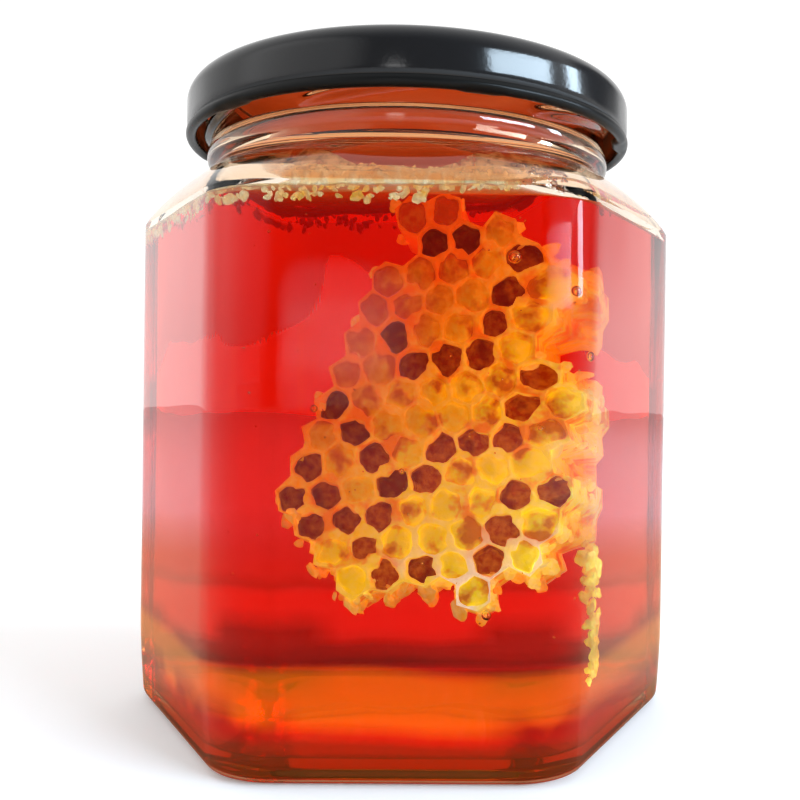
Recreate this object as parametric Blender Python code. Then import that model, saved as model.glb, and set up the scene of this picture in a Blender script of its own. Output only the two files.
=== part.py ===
"""Hexagonal glass jar of honey with a piece of comb in it, shut with a black twist-off lid.

The jar stands on its base with its axis on Z, a flat side to the front (-Y) and corners at +X and -X.
The lid, the glass, the wax foam, the honey and the comb are separate solids with small gaps between.
"""

import math
import random

import bmesh
import bpy
from mathutils import Matrix, Vector, noise

MM = 0.001
GAP = 0.3 * MM

# Glass: a regular hexagon with round corners, which turns into a round neck.
SIDE = 53.0 * MM
BODY_APOTHEM = SIDE * math.cos(math.radians(30))
BODY_CORNER = 15.0 * MM
BASE_CORNER = 11.5 * MM
WALL = 3.0 * MM
HEEL_INSET = 3.2 * MM
HEEL_TOP = 2.4 * MM
TAPER_INSET = 0.9 * MM
TAPER_TOP = 17.0 * MM
PUNT_RISE = 0.8 * MM
PUNT_INSET = 11.0 * MM
FLOOR_Z = 3.4 * MM
FLOOR_HEEL = 3.0 * MM
SHOULDER_Z = 90.2 * MM
SHOULDER_RISE = 8.8 * MM
SHOULDER_POWER = 1.576
NECK_R = 37.8 * MM
BORE_R = 35.0 * MM
GROOVE_Z = 100.4 * MM
GROOVE_DEPTH = 0.5 * MM
BEAD_Z = 102.6 * MM
BEAD_HALF = 1.6 * MM
BEAD_R = 38.4 * MM
FINISH_R = 37.7 * MM
RIM_Z = 115.0 * MM
RIM_ROUND = 1.0 * MM

# Screw finish: short ridges round the neck that the lid's lugs catch under.
THREADS = 6
THREAD_LOW_Z = 105.4 * MM
THREAD_RISE = 3.9 * MM
THREAD_SPAN = math.radians(50)
THREAD_START = math.radians(243)
THREAD_HALF = 1.0 * MM
THREAD_HEIGHT = 1.3 * MM
THREAD_ROWS = 7

# Lid: pressed sheet with a rolled lower edge and lugs.
LID_R = 42.1 * MM
LID_TOP = 116.0 * MM
LID_SHEET = 0.6 * MM
LID_EDGE = 3.8 * MM
LID_LOW = 105.6 * MM
CURL_R = 0.95 * MM
PANEL_R = 33.0 * MM
PANEL_DROP = 0.9 * MM
LUG_REACH = 1.1 * MM
LUG_HALF = math.radians(6)
LUG_AFTER_START = math.radians(44)

# Food: levels are heights above the table.
FOAM_TOP = 93.2 * MM
FOAM_UNDERSIDE = 90.5 * MM
FOAM_LEAN = 1.3 * MM
FOAM_BUMP = 0.5 * MM
FOAM_BUMP_SIZE = 11.0 * MM
FOAM_RINGS = 5

# Comb: a broken slab whose right end and lower edge are nearest the front glass. Its top leans back.
CELL_PITCH = 5.35 * MM
CELL_TURN = math.radians(9)
CELL_DEPTH = 1.7 * MM
CELL_FLOOR = 0.66
CELL_FILL = (0.55, 1.0)
CELL_JITTER = 0.42 * MM
COMB_THICK = 15.0 * MM
COMB_CENTRE = Vector((6.2, -24.2, 58.0)) * MM
COMB_YAW = math.radians(-8)
COMB_LEAN = math.radians(12)
COMB_SEED = 11
# Outline round the middles of the comb's cells, across and up from its centre, in millimetres.
COMB_OUTLINE = (
    (-5.2, 28.5), (9.5, 28.5), (15.5, 22), (17.5, 10), (17.5, 2.6), (19.5, -1), (20, -7), (20, -11),
    (19, -18), (15.5, -23.5), (15.5, -29.5), (9.9, -32), (3.5, -31), (-4, -30.5), (-13.3, -31),
    (-18, -30), (-19, -23.5), (-23.5, -21.5), (-24.5, -14), (-21.5, -9.5), (-16, -2),
    (-14.5, 12.3), (-11.5, 20.5), (-5, 20),
)
# Slot from the comb's pocket up through the honey's surface, in the same frame.
MOUTH_OUTLINE = ((-5, 20), (11, 20), (11, 45), (-5, 45))

# Round the outline: steps over a corner's arc and over a flat side.
CORNER_STEPS = 4
FLAT_STEPS = 6
LID_STEPS = 60
SMOOTH_ANGLE = math.radians(38)


def clear_scene():
    for thing in list(bpy.data.objects):
        bpy.data.objects.remove(thing, do_unlink=True)


def finish_of(name, colour, roughness, metallic=0.0, transmission=0.0, ior=1.5):
    material = bpy.data.materials.new(name)
    material.use_nodes = True
    shader = material.node_tree.nodes["Principled BSDF"]
    shader.inputs["Base Color"].default_value = (*colour, 1.0)
    shader.inputs["Roughness"].default_value = roughness
    shader.inputs["Metallic"].default_value = metallic
    shader.inputs["Transmission Weight"].default_value = transmission
    shader.inputs["IOR"].default_value = ior
    material.diffuse_color = (*colour, 1.0)
    return material


def tangent_angle(apothem, corner):
    """How far from a corner's direction its arc ends, seen from the axis."""
    along_side = (apothem - corner) * math.tan(math.radians(30))
    return math.radians(30) - math.atan2(along_side, apothem)


def outline_radius(angle, apothem, corner):
    """Distance from the axis to a hexagon with round corners. A corner as large as the apothem is a circle."""
    off_corner = abs((angle + math.radians(30)) % math.radians(60) - math.radians(30))
    if off_corner >= tangent_angle(apothem, corner):
        return apothem / math.cos(math.radians(30) - off_corner)
    centre = (apothem - corner) / math.cos(math.radians(30))
    return centre * math.cos(off_corner) + math.sqrt(corner**2 - (centre * math.sin(off_corner)) ** 2)


def hexagon_angles():
    """Directions for the jar's rings: close together over each corner, wider over each side."""
    reach = tangent_angle(BODY_APOTHEM, BODY_CORNER)
    corner = [-reach + 2 * reach * step / CORNER_STEPS for step in range(CORNER_STEPS)]
    flat_width = math.radians(60) - 2 * reach
    flat = [reach + flat_width * step / FLAT_STEPS for step in range(FLAT_STEPS)]
    return [math.radians(60) * sector + angle for sector in range(6) for angle in corner + flat]


def round_angles():
    return [2 * math.pi * step / LID_STEPS for step in range(LID_STEPS)]


def ring(angles, apothem, corner, height):
    radii = [outline_radius(angle, apothem, corner) for angle in angles]
    return [(r * math.cos(angle), r * math.sin(angle), height) for r, angle in zip(radii, angles)]


def circle(angles, radius, height):
    return ring(angles, radius, radius, height)


def solid_of_rings(name, rings, first_tip, last_tip, material):
    """A closed skin through the rings in order, with a point at each end."""
    mesh = bmesh.new()
    rows = [[mesh.verts.new(point) for point in points] for points in rings]
    count = len(rows[0])
    tips = [mesh.verts.new(first_tip), mesh.verts.new(last_tip)]
    for low, high in zip(rows, rows[1:]):
        for i in range(count):
            j = (i + 1) % count
            mesh.faces.new((low[i], low[j], high[j], high[i]))
    for i in range(count):
        j = (i + 1) % count
        mesh.faces.new((tips[0], rows[0][j], rows[0][i]))
        mesh.faces.new((tips[1], rows[-1][i], rows[-1][j]))
    return add_object(name, mesh, material)


def add_object(name, mesh, material):
    bmesh.ops.recalc_face_normals(mesh, faces=mesh.faces)
    data = bpy.data.meshes.new(name)
    mesh.to_mesh(data)
    mesh.free()
    data.materials.append(material)
    data.shade_smooth()
    data.set_sharp_from_angle(angle=SMOOTH_ANGLE)
    thing = bpy.data.objects.new(name, data)
    bpy.context.scene.collection.objects.link(thing)
    return thing


def shoulder(apothem, corner, radius, start_z, rise, steps):
    """Apothem, corner and height of each ring from the body's outline to the round neck."""
    rows = []
    for step in range(steps + 1):
        turn = math.pi / 2 * step / steps
        inward = 1 - math.cos(turn) ** SHOULDER_POWER
        upward = math.sin(turn) ** SHOULDER_POWER
        rows.append((
            apothem + (radius - apothem) * inward,
            corner + (radius - corner) * inward,
            start_z + rise * upward,
        ))
    return rows


def inner_shoulder():
    return shoulder(BODY_APOTHEM - WALL, BODY_CORNER - WALL, BORE_R, SHOULDER_Z - WALL / 2, SHOULDER_RISE, 5)


def inner_wall(height):
    """Apothem and corner of the glass's inner face at a height in the shoulder."""
    rows = inner_shoulder()
    for (apothem, corner, z), (next_apothem, next_corner, next_z) in zip(rows, rows[1:]):
        if height < next_z:
            share = max(0.0, (height - z) / (next_z - z))
            return apothem + (next_apothem - apothem) * share, corner + (next_corner - corner) * share
    return BORE_R, BORE_R


def thread_radius(angle, height):
    """Radius of the screw finish, raised where one of the ridges passes."""
    after_start = (angle - THREAD_START) % (2 * math.pi / THREADS)
    along = after_start / THREAD_SPAN
    if along > 1:
        return FINISH_R
    middle = THREAD_LOW_Z + THREAD_RISE * along
    across = max(0.0, 1 - ((height - middle) / THREAD_HALF) ** 2)
    ends = min(1.0, 5 * along, 5 * (1 - along))
    return FINISH_R + THREAD_HEIGHT * ends * across


def make_jar():
    angles = hexagon_angles()
    rings = [
        ring(angles, BODY_APOTHEM - PUNT_INSET, BASE_CORNER, PUNT_RISE),
        ring(angles, BODY_APOTHEM - PUNT_INSET + PUNT_RISE, BASE_CORNER, 0.0),
    ]
    for step in range(4):
        turn = math.pi / 2 * step / 3
        inset = TAPER_INSET + (HEEL_INSET - TAPER_INSET) * (1 - math.sin(turn))
        rings.append(ring(angles, BODY_APOTHEM - inset, BASE_CORNER, HEEL_TOP * (1 - math.cos(turn))))
    rings.append(ring(angles, BODY_APOTHEM, BODY_CORNER, TAPER_TOP))
    for apothem, corner, z in shoulder(BODY_APOTHEM, BODY_CORNER, NECK_R, SHOULDER_Z, SHOULDER_RISE, 6):
        rings.append(ring(angles, apothem, corner, z))
    rings.append(circle(angles, NECK_R - GROOVE_DEPTH, GROOVE_Z))
    for step in range(3):
        turn = math.pi * (step + 0.5) / 3
        rise = (BEAD_R - FINISH_R) * math.sin(turn)
        rings.append(circle(angles, FINISH_R + rise, BEAD_Z - BEAD_HALF * math.cos(turn)))
    first = THREAD_LOW_Z - THREAD_HALF
    last = THREAD_LOW_Z + THREAD_RISE + THREAD_HALF
    for row in range(THREAD_ROWS):
        z = first + (last - first) * row / (THREAD_ROWS - 1)
        rings.append([
            (thread_radius(angle, z) * math.cos(angle), thread_radius(angle, z) * math.sin(angle), z)
            for angle in angles
        ])
    rings.append(circle(angles, FINISH_R, RIM_Z - RIM_ROUND))
    rings.append(circle(angles, FINISH_R - RIM_ROUND, RIM_Z))
    rings.append(circle(angles, BORE_R + RIM_ROUND, RIM_Z))
    rings.append(circle(angles, BORE_R, RIM_Z - RIM_ROUND))
    for apothem, corner, z in reversed(inner_shoulder()):
        rings.append(ring(angles, apothem, corner, z))
    for step in range(4):
        turn = math.pi / 2 * step / 3
        apothem = BODY_APOTHEM - WALL - TAPER_INSET - FLOOR_HEEL * (1 - math.cos(turn))
        rings.append(ring(angles, apothem, BASE_CORNER - WALL, FLOOR_Z + FLOOR_HEEL * (1 - math.sin(turn))))
    glass = finish_of("clear_glass", (0.92, 0.96, 0.95), 0.02, transmission=1.0, ior=1.5)
    return solid_of_rings("glass_jar", rings, (0, 0, PUNT_RISE), (0, 0, FLOOR_Z), glass)


def foam_underside(x, y):
    bump = noise.noise(Vector((x, y, 0)) / FOAM_BUMP_SIZE)
    return FOAM_UNDERSIDE + FOAM_LEAN * x / SIDE + FOAM_BUMP * bump


def foam_top(x, y):
    bump = noise.noise(Vector((x, y, FOAM_TOP)) / FOAM_BUMP_SIZE)
    return FOAM_TOP + FOAM_BUMP * bump


def food_ring(angles, share, surface):
    """A ring on an uneven surface, just inside the glass or a share of the way out to it."""
    points = []
    for angle in angles:
        z = surface(0, 0)
        for _ in range(4):
            apothem, corner = inner_wall(z)
            radius = outline_radius(angle, apothem - GAP, corner - GAP) * share
            x, y = radius * math.cos(angle), radius * math.sin(angle)
            z = surface(x, y)
        points.append((x, y, z))
    return points


def make_wax_foam():
    angles = hexagon_angles()
    shares = [step / FOAM_RINGS for step in range(1, FOAM_RINGS + 1)]
    rings = [food_ring(angles, share, foam_underside) for share in shares]
    rings += [food_ring(angles, share, foam_top) for share in reversed(shares)]
    tips = [(0, 0, foam_underside(0, 0)), (0, 0, foam_top(0, 0))]
    wax = finish_of("wax_foam", (0.86, 0.72, 0.42), 0.55)
    return solid_of_rings("wax_foam", rings, tips[0], tips[1], wax)


def honey_top(x, y):
    return foam_underside(x, y) - GAP


def make_honey():
    angles = hexagon_angles()
    rings = []
    for step in range(4):
        turn = math.pi / 2 * step / 3
        apothem = BODY_APOTHEM - WALL - TAPER_INSET - GAP - FLOOR_HEEL * (1 - math.sin(turn))
        z = FLOOR_Z + GAP + FLOOR_HEEL * (1 - math.cos(turn))
        rings.append(ring(angles, apothem, BASE_CORNER - WALL - GAP, z))
    apothem, corner, z = inner_shoulder()[0]
    rings.append(ring(angles, apothem - GAP, corner - GAP, z - 2 * GAP))
    rings += [food_ring(angles, share, honey_top) for share in (1.0, 0.67, 0.33)]
    amber = finish_of("red_amber_honey", (0.62, 0.08, 0.01), 0.05, transmission=0.9, ior=1.49)
    tips = [(0, 0, FLOOR_Z + GAP), (0, 0, honey_top(0, 0))]
    honey = solid_of_rings("honey", rings, tips[0], tips[1], amber)
    mouth = [Vector(point) * MM for point in MOUTH_OUTLINE]
    for name, outline in (("comb_pocket", comb_room()), ("pocket_mouth", mouth)):
        cut = honey.modifiers.new(name, "BOOLEAN")
        cut.operation = "DIFFERENCE"
        cut.solver = "EXACT"
        cut.object = make_cutter(name + "_cutter", outline)
    return honey


def comb_place():
    turn = Matrix.Rotation(COMB_YAW, 4, "Z") @ Matrix.Rotation(-COMB_LEAN, 4, "X")
    return Matrix.Translation(COMB_CENTRE) @ turn


def inside(point, outline):
    """Whether a point lies in a closed outline, by counting the sides crossed on the way out."""
    crossings = 0
    for (x0, y0), (x1, y1) in zip(outline, outline[1:] + outline[:1]):
        if (y0 > point[1]) != (y1 > point[1]):
            crossings += point[0] < x0 + (point[1] - y0) / (y1 - y0) * (x1 - x0)
    return crossings % 2 == 1


def cell_centres():
    """Centres of the comb's cells, row by row, whose middle lies in the outline."""
    outline = [(across * MM, up * MM) for across, up in COMB_OUTLINE]
    reach = int(40 * MM / CELL_PITCH) + 2
    turn = Matrix.Rotation(CELL_TURN, 2)
    centres = []
    for row in range(-reach, reach + 1):
        for column in range(-reach, reach + 1):
            along = (column + 0.5 * (row % 2)) * CELL_PITCH
            centre = turn @ Vector((along, row * CELL_PITCH * math.cos(math.radians(30))))
            if inside(centre, outline):
                centres.append(centre)
    return centres


def comb_cells():
    """Each cell's centre and six corners. Neighbours share corners, moved a little as in natural comb."""
    draw = random.Random(COMB_SEED)
    known = []
    cells = []
    for centre in cell_centres():
        corners = []
        for side in range(6):
            angle = math.radians(30 + 60 * side) + CELL_TURN
            point = centre + Vector((math.cos(angle), math.sin(angle))) * CELL_PITCH / math.sqrt(3)
            shared = [moved for first, moved in known if (first - point).length < 0.1 * CELL_PITCH]
            if not shared:
                shared = [point + Vector((draw.uniform(-1, 1), draw.uniform(-1, 1))) * CELL_JITTER]
                known.append((point, shared[0]))
            corners.append(shared[0])
        cells.append((centre, corners))
    return cells


def comb_edge():
    """The comb's edge as one loop of corners: the cell sides that no neighbour has."""
    corners = {tuple(corner): corner for _, around in comb_cells() for corner in around}
    sides = {(tuple(a), tuple(b)) for _, around in comb_cells() for a, b in zip(around, around[1:] + around[:1])}
    after = {a: b for a, b in sides if (b, a) not in sides}
    loop = [min(after)]
    while after[loop[-1]] != loop[0]:
        loop.append(after[loop[-1]])
    return [corners[corner] for corner in loop]


def comb_room():
    """The comb's edge moved out by the gap."""
    edge = comb_edge()
    room = []
    for before, point, after in zip(edge[-1:] + edge, edge, edge[1:] + edge[:1]):
        out_a, out_b = [Vector((way.y, -way.x)).normalized() for way in (point - before, after - point)]
        room.append(point + (out_a + out_b) * GAP / (1 + out_a.dot(out_b)))
    return room


def make_cutter(name, outline):
    """A hidden prism as thick as the comb and its gaps, which cuts the honey."""
    half = COMB_THICK / 2 + GAP
    mesh = bmesh.new()
    front = [mesh.verts.new((point.x, -half, point.y)) for point in outline]
    back = [mesh.verts.new((point.x, half, point.y)) for point in outline]
    mesh.faces.new(front)
    mesh.faces.new(back[::-1])
    for i in range(len(outline)):
        j = (i + 1) % len(outline)
        mesh.faces.new((front[j], front[i], back[i], back[j]))
    cutter = add_object(name, mesh, finish_of("cutter", (1, 0, 0), 0.5))
    cutter.matrix_world = comb_place()
    cutter.hide_render = True
    cutter.display_type = "WIRE"
    return cutter


def make_comb():
    """A slab of cells, hollowed on both faces, whose edge follows the cells that are left."""
    draw = random.Random(COMB_SEED)
    half = COMB_THICK / 2
    mesh = bmesh.new()
    verts = {}

    def vert(corner, y):
        key = (corner.x, corner.y, y)
        if key not in verts:
            verts[key] = mesh.verts.new((corner.x, y, corner.y))
        return verts[key]

    for centre, corners in comb_cells():
        for face_y, depth in ((-half, CELL_DEPTH), (half, -CELL_DEPTH)):
            dip = depth * draw.uniform(*CELL_FILL)
            rim = [vert(corner, face_y) for corner in corners]
            inset = [centre + (corner - centre) * CELL_FLOOR for corner in corners]
            floor = [mesh.verts.new((point.x, face_y + dip, point.y)) for point in inset]
            mesh.faces.new(floor)
            for i in range(6):
                j = (i + 1) % 6
                mesh.faces.new((rim[i], rim[j], floor[j], floor[i]))
    edge = comb_edge()
    for a, b in zip(edge, edge[1:] + edge[:1]):
        mesh.faces.new((vert(a, -half), vert(b, -half), vert(b, half), vert(a, half)))
    comb = add_object("honeycomb", mesh, finish_of("comb_wax", (0.85, 0.55, 0.08), 0.45))
    comb.matrix_world = comb_place()
    return comb


def lug_inward(angle):
    """How far the lid's curl is pressed in at this direction, to make a lug."""
    pitch = 2 * math.pi / THREADS
    off = abs((angle - THREAD_START - LUG_AFTER_START + pitch / 2) % pitch - pitch / 2)
    return LUG_REACH * max(0.0, min(1.0, 2 * (1 - off / LUG_HALF)))


def make_lid():
    angles = round_angles()
    rings = [
        circle(angles, PANEL_R, LID_TOP - PANEL_DROP),
        circle(angles, PANEL_R + PANEL_DROP, LID_TOP),
    ]
    for step in range(5):
        turn = math.pi / 2 * step / 4
        radius = LID_R - LID_EDGE * (1 - math.sin(turn))
        rings.append(circle(angles, radius, LID_TOP - LID_EDGE * (1 - math.cos(turn))))
    curl_z = LID_LOW + CURL_R
    rings.append(circle(angles, LID_R - 0.1 * MM, curl_z + CURL_R * 1.1))
    curl_middle = LID_R + 0.15 * MM - CURL_R
    for step in range(5):
        turn = math.pi * step / 4
        points = []
        for angle in angles:
            radius = curl_middle + CURL_R * math.cos(turn) - lug_inward(angle) * step / 4
            points.append((radius * math.cos(angle), radius * math.sin(angle), curl_z - CURL_R * math.sin(turn)))
        rings.append(points)
    inner = LID_R - LID_SHEET
    rings.append(circle(angles, inner, curl_z + CURL_R * 1.1))
    rings.append(circle(angles, inner, LID_TOP - LID_EDGE))
    rings.append(circle(angles, inner - LID_EDGE * 0.7, LID_TOP - LID_SHEET))
    rings.append(circle(angles, PANEL_R + PANEL_DROP, LID_TOP - LID_SHEET))
    rings.append(circle(angles, PANEL_R, LID_TOP - PANEL_DROP - LID_SHEET))
    black = finish_of("black_lacquer", (0.012, 0.012, 0.014), 0.28, metallic=0.2)
    first = (0, 0, LID_TOP - PANEL_DROP)
    last = (0, 0, LID_TOP - PANEL_DROP - LID_SHEET)
    return solid_of_rings("lid", rings, first, last, black)


def main():
    clear_scene()
    make_jar()
    make_honey()
    make_comb()
    make_wax_foam()
    make_lid()


main()
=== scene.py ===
"""A hexagonal glass jar of red amber honey with a piece of comb, wax foam on top and a black twist-off lid.

Everything is in metres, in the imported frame: the axis on Z, a flat side to the front at -Y.
"""

import math
import random

import bmesh
import bpy
from mathutils import Matrix, Vector, noise


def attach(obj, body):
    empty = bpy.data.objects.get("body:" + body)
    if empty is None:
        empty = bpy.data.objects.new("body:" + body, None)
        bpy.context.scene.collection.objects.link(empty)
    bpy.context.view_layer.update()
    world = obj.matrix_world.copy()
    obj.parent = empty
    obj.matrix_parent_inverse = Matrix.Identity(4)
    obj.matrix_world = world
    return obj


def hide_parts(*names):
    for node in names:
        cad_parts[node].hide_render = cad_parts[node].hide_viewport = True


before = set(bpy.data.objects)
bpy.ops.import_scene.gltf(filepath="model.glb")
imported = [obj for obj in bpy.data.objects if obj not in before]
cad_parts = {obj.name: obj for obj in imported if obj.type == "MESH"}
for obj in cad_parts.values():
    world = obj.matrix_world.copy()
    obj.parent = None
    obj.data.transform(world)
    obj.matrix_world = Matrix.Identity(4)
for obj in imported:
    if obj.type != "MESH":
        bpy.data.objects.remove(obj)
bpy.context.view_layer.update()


# The view. The camera stands close, a little below the middle of the jar, so the lid is seen from below.
# Its lens, shift and place were fitted to the jar's outline, in sides of the jar's hexagon.
MM = 0.001
SIDE = 53.0 * MM

camera = bpy.data.objects.new("camera", bpy.data.cameras.new("camera"))
bpy.context.scene.collection.objects.link(camera)
camera.data.sensor_width = 36
camera.data.lens = 41.706
camera.data.shift_x = -0.0585
camera.data.shift_y = 0.0049
camera.data.clip_start = 0.01
camera.matrix_world = (
    Matrix.Rotation(-0.0198, 4, "Z")
    @ Matrix.Translation(Vector((0.1537, -3.4466, 1.1001)) * SIDE)
    @ Matrix.Rotation(math.radians(90) - 0.0062, 4, "X")
    @ Matrix.Rotation(0.0141, 4, "Z")
)
scene = bpy.context.scene
scene.camera = camera
scene.view_settings.view_transform = "Standard"
# Light crosses the two faces of the glass and the honey many times, so it needs many bounces.
scene.cycles.max_bounces = 28
scene.cycles.transmission_bounces = 26
scene.cycles.glossy_bounces = 8
scene.cycles.diffuse_bounces = 4


# The table and the light. A pale table, a white room behind the jar, a darker side where the photographer
# stands, and two bright windows to the right of it, which show on the lid and the neck.


class Socket:
    """A shader value whose + - and * add Math nodes."""

    def __init__(self, tree, link):
        self.tree = tree
        self.link = link

    def math(self, operation, *values, clamp=False):
        settings = {"operation": operation, "use_clamp": clamp}
        sockets = {f"i{place}": value for place, value in enumerate(values)}
        return Nodes(self.tree).node("Math", settings, **sockets)

    def __add__(self, other):
        return self.math("ADD", self, other)

    def __sub__(self, other):
        return self.math("SUBTRACT", self, other)

    def __rsub__(self, other):
        return self.math("SUBTRACT", other, self)

    def __mul__(self, other):
        return self.math("MULTIPLY", self, other)

    __radd__ = __add__
    __rmul__ = __mul__

    def between(self, low, high):
        """0 below low, 1 above high, and a straight run between."""
        return self.math("MULTIPLY", self - low, 1 / (high - low), clamp=True)


def plug(tree, socket, value):
    if isinstance(value, Socket):
        tree.links.new(value.link, socket)
    elif isinstance(value, tuple) and len(value) == 3 and socket.type == "RGBA":
        socket.default_value = (*value, 1.0)
    else:
        socket.default_value = value


class Nodes:
    """A tree of shader nodes. A socket is given by its name, or as i and its number."""

    def __init__(self, tree):
        self.tree = tree

    def node(self, kind, settings=None, output=0, **inputs):
        """One more node, its settings first, then what goes into its sockets."""
        node = self.tree.nodes.new("ShaderNode" + kind)
        for name, value in (settings or {}).items():
            setattr(node, name, value)
        for name, value in inputs.items():
            key = int(name[1:]) if name[0] == "i" and name[1:].isdigit() else name.replace("_", " ")
            plug(self.tree, node.inputs[key], value)
        return Socket(self.tree, node.outputs[output])


class Finish(Nodes):
    """A material with one Principled shader, and the nodes that feed it."""

    def __init__(self, name, **values):
        self.material = bpy.data.materials.new(name)
        self.material.use_nodes = True
        super().__init__(self.material.node_tree)
        self.shader = self.tree.nodes["Principled BSDF"]
        self.output = self.tree.nodes["Material Output"]
        self.set(**values)

    def set(self, **values):
        for name, value in values.items():
            plug(self.tree, self.shader.inputs[name.replace("_", " ")], value)

    def place(self):
        return self.node("TexCoord", output="Object")

    def noise(self, scale, detail=3.0):
        return self.node("TexNoise", Vector=self.place(), Scale=scale, Detail=detail)

    def blend(self, share, first, second):
        """A colour between two, by a share. The sockets are those of the Mix node's colour mode."""
        return self.node("Mix", {"data_type": "RGBA"}, output=2, i0=share, i6=first, i7=second)

    def axis(self, index):
        return self.node("SeparateXYZ", output=index, Vector=self.place())

    def bump(self, height, strength, distance):
        self.set(Normal=self.node("Bump", Height=height, Strength=strength, Distance=distance))


def piece_of(name, mesh, finish, smooth=math.radians(40)):
    bmesh.ops.recalc_face_normals(mesh, faces=mesh.faces)
    data = bpy.data.meshes.new(name)
    mesh.to_mesh(data)
    mesh.free()
    data.shade_smooth()
    data.set_sharp_from_angle(angle=smooth)
    for one in finish if isinstance(finish, list) else [finish]:
        data.materials.append(one.material)
    piece = bpy.data.objects.new(name, data)
    bpy.context.scene.collection.objects.link(piece)
    return piece


table_top = Finish("pale_table", Roughness=0.7, Emission_Color=(1.0, 1.0, 1.0), Emission_Strength=0.15)
table_top.set(Base_Color=table_top.blend(table_top.noise(40.0), (0.92, 0.92, 0.92), (0.95, 0.95, 0.95)))
# The photographed jar stood on something browner than the white it is shown on, and glass and honey show
# that: so every ray that isn't straight from the camera meets a browner patch round the jar, dark under it.
UNDER_JAR, BESIDE_JAR = 43 * MM, 62 * MM
PATCH_EDGE, PATCH_END = 200 * MM, 330 * MM
TABLE_DROP = 0.2 * MM
from_jar = table_top.node("VectorMath", {"operation": "LENGTH"}, output="Value", i0=table_top.place())
# Dark under the jar is painted shadow: the jar's own shadow on the table, seen through glass and honey.
tint = table_top.blend(from_jar.between(UNDER_JAR, BESIDE_JAR), (0.1, 0.06, 0.045), (0.8, 0.6, 0.42))
tint = table_top.blend(from_jar.between(PATCH_EDGE, PATCH_END), tint, (0.95, 0.95, 0.95))
brown_and_painted_shadow = table_top.node("BsdfDiffuse", Color=tint)
seen = table_top.node("LightPath", output="Is Camera Ray")
shown = table_top.node("MixShader", i0=seen, i1=brown_and_painted_shadow, i2=Socket(table_top.tree, table_top.shader.outputs[0]))
plug(table_top.tree, table_top.output.inputs["Surface"], shown)
sheet = bmesh.new()
bmesh.ops.create_grid(sheet, x_segments=8, y_segments=8, size=3.0)
table = piece_of("table", sheet, table_top)
table.location.z = -TABLE_DROP

ROOM_DARK = 0.22
ROOM_BRIGHT = 1.12
room = bpy.data.worlds.new("room")
scene.world = room
room.use_nodes = True
sky = Nodes(room.node_tree)
direction = sky.node("TexCoord", output="Generated")


def sky_range(value, low, high, dark, bright):
    """A brightness that runs smoothly from dark to bright while a direction's value runs from low to high."""
    smooth = {"interpolation_type": "SMOOTHSTEP"}
    return sky.node("MapRange", smooth, Value=value, From_Min=low, From_Max=high, To_Min=dark, To_Max=bright)


def heading(azimuth, elevation):
    """A direction from the jar. The azimuth counts from the front towards the right."""
    flat = math.cos(elevation)
    return Vector((math.sin(azimuth) * flat, -math.cos(azimuth) * flat, math.sin(elevation)))


# Round soft patches of light in the room: azimuth and elevation, inner and outer radius, all in degrees, and
# strength. In turn: a pale wall that veils the honey, light on the lid's left, a dark corner that the lid's
# right end shows, and the bright sides of the room that the slanting sides of the glass show.
GLOWS = (
    (-5.8, 2, 2.5, 6.5, 2.0),
    (-5.8, 7, 2.5, 6.5, 2.0),
    (-5.8, 12, 2.5, 6.5, 2.0),
    (-55, 18, 20, 38, 0.9),
    (116, 23, 11, 24, -0.95),
    (-130, 2, 8, 22, 0.38),
    (130, 2, 8, 22, 0.38),
)
light = sky_range(sky.node("SeparateXYZ", output="Y", Vector=direction), -0.9, 0.1, ROOM_DARK, ROOM_BRIGHT)
for *angles, strength in GLOWS:
    azimuth, elevation, inner, outer = map(math.radians, angles)
    towards = heading(azimuth, elevation)
    near = sky.node("VectorMath", {"operation": "DOT_PRODUCT"}, output="Value", i0=direction, i1=towards)
    light = light + sky_range(near, math.cos(outer), math.cos(inner), 0.0, strength)
background = sky.tree.nodes["Background"]
background.inputs["Color"].default_value = (1.0, 1.0, 1.0, 1.0)
plug(sky.tree, background.inputs["Strength"], light)


# Both windows are the same distance from the jar and as high up over it, in metres.
WINDOW_COLOUR = (0.66, 0.84, 1.0)
WINDOW_UP = math.radians(19)
WINDOW_FAR = 1.5
WINDOW_TALL = 0.34
WINDOW_AIM = Vector((0, 0, 70 * MM))


def window(name, azimuth, width, radiance):
    """A bluish soft box that faces the jar."""
    pane = bpy.data.lights.new(name, "AREA")
    pane.shape = "RECTANGLE"
    pane.size = width
    pane.size_y = WINDOW_TALL
    pane.energy = radiance * math.pi * width * WINDOW_TALL
    pane.color = WINDOW_COLOUR
    hung = bpy.data.objects.new(name, pane)
    scene.collection.objects.link(hung)
    way = heading(azimuth, WINDOW_UP)
    hung.location = WINDOW_AIM + way * WINDOW_FAR
    hung.rotation_euler = way.to_track_quat("Z", "Y").to_euler()


window("near_window", math.radians(56), 0.85, 30.0)
window("far_window", math.radians(88), 0.2, 28.0)


# The jar is one piece of pressed clear glass, about 3 mm thick: a hexagon with round corners whose shoulder
# turns into a round neck with a bead and a screw finish. The food fills it to just under the neck.
APOTHEM = SIDE * math.cos(math.radians(30))
BODY_CORNER = 15.0 * MM
BASE_CORNER = 11.5 * MM
WALL = 3.0 * MM
HEEL_INSET = 3.2 * MM
HEEL_TOP = 2.4 * MM
TAPER_INSET = 0.9 * MM
TAPER_TOP = 17.0 * MM
PUNT_RISE = 0.8 * MM
PUNT_INSET = 11.0 * MM
FLOOR_Z = 3.4 * MM
FLOOR_HEEL = 3.0 * MM
SHOULDER_Z = 90.2 * MM
SHOULDER_RISE = 8.8 * MM
SHOULDER_POWER = 1.576
NECK_R = 37.8 * MM
BORE_R = 35.0 * MM
GROOVE_Z = 100.4 * MM
GROOVE_DEPTH = 0.5 * MM
BEAD_Z = 102.6 * MM
BEAD_HALF = 1.6 * MM
BEAD_R = 38.4 * MM
FINISH_R = 37.7 * MM
RIM_Z = 115.0 * MM
RIM_ROUND = 1.0 * MM
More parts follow.
